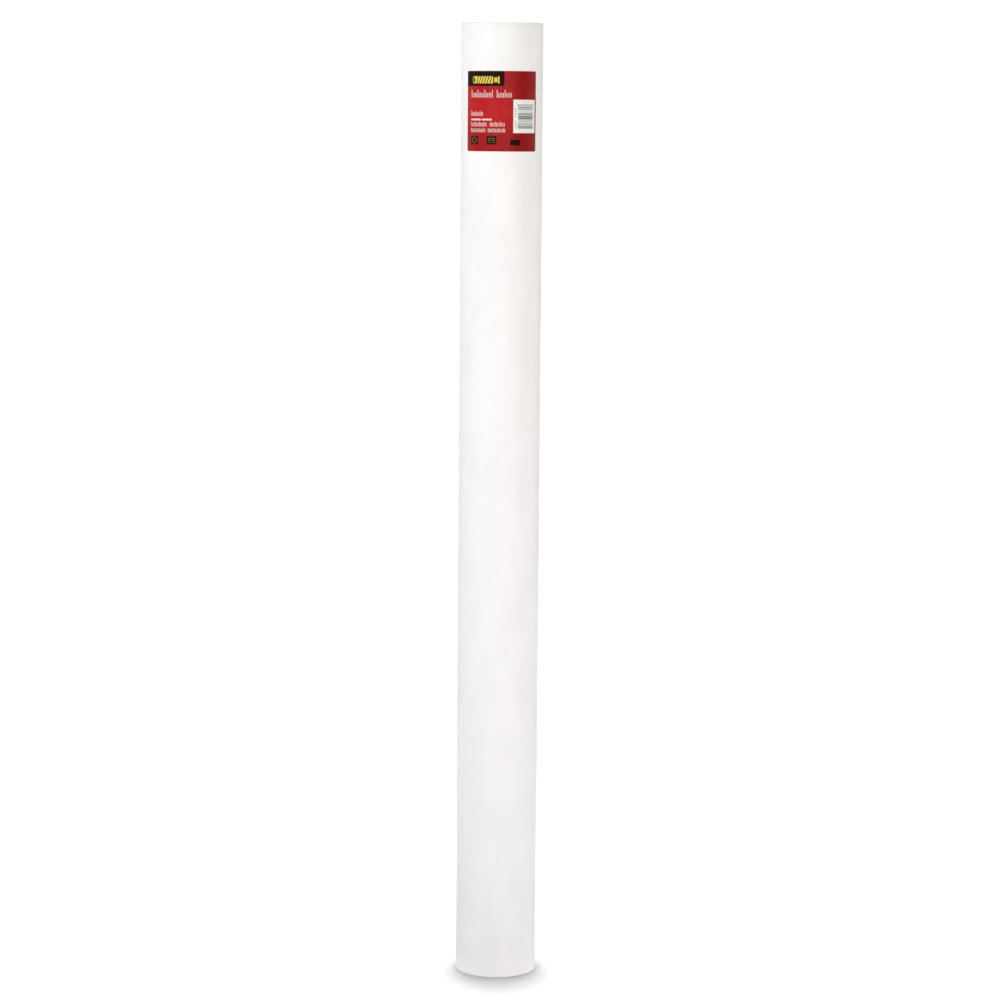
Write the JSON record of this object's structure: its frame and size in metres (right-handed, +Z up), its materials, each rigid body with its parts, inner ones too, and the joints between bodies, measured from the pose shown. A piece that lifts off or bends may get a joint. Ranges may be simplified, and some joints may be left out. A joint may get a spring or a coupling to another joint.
{
  "type": "mailing tube",
  "caption": "Long white spiral-wound paperboard tube with a recessed plastic plug cap in each end and a square red label, for carrying and posting rolled drawings.",
  "frame": {"origin": "on the tube's axis, in the plane of the bottom cap's outer face, which is the plane it stands on", "axes": "+Z up the tube's axis from the bottom cap to the top cap; -Y is the front, where the label is; +X is to the right as seen from the front"},
  "size_m": [0.0776, 0.0776, 0.9168],
  "materials": {
    "liner_paper": "matte",
    "board": "matte",
    "white_paper": "matte",
    "cap_plastic": "satin",
    "label_paper": "satin"
  },
  "bodies": {
    "bottom_cap": {"bottom_end_cap": "cap_plastic"},
    "tube": {"inner_liner": "liner_paper", "inner_board_ply": "board", "middle_board_ply": "board", "outer_board_ply": "board", "white_outer_wrap": "white_paper", "label": "label_paper"},
    "top_cap": {"top_end_cap": "cap_plastic"}
  },
  "joints": [
    {"name": "bottom_cap_pull", "type": "slide", "parent": "bottom_cap", "child": "tube", "axis": [0, 0, 1], "range_m": [0, 0.06]},
    {"name": "top_cap_pull", "type": "slide", "parent": "tube", "child": "top_cap", "axis": [0, 0, 1], "range_m": [0, 0.06]}
  ]
}
